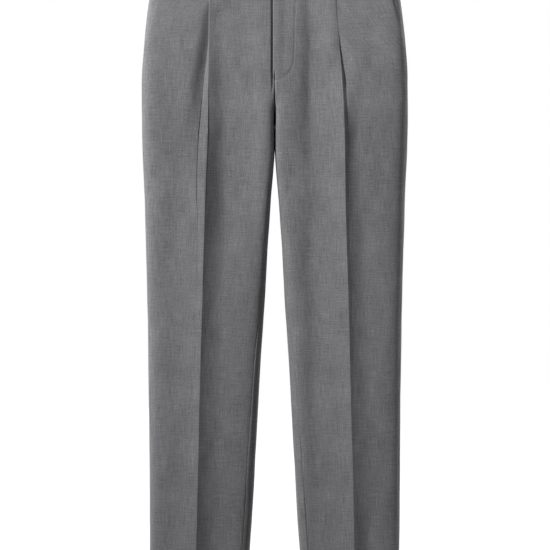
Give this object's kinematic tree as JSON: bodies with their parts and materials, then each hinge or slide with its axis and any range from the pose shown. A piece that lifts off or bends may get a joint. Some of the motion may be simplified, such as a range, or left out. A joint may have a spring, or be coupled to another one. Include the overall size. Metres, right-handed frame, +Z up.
{
  "type": "pleated dress trousers",
  "caption": "Pleated dress trousers in heather grey wool, filled out as worn, with pressed creases, slanted pockets, a zip fly and a buttoned waistband.",
  "frame": {"origin": "middle of the waistband ring at half its height, where the wearer holds the trousers up", "axes": "+X to the wearer's left, -Y to the front, +Z up; the legs hang down along -Z"},
  "size_m": [0.436, 0.2383, 1.041],
  "materials": {
    "wool": "matt plain-weave wool in mixed light and dark grey yarns",
    "zip_tape": "woven tape",
    "zip_metal": "nickel plated",
    "button_horn": "dark horn, satin polish"
  },
  "bodies": {
    "root": {"front_left": "wool", "front_right": "wool", "back_left": "wool", "back_right": "wool", "waistband_left": "wool", "waistband_right": "wool", "pocket_facing_left": "wool", "pocket_facing_right": "wool", "fly_shield": "wool", "zip": "zip_tape", "zip_slider": "zip_metal", "zip_pull": "zip_metal", "waistband_button": "button_horn"}
  },
  "joints": []
}
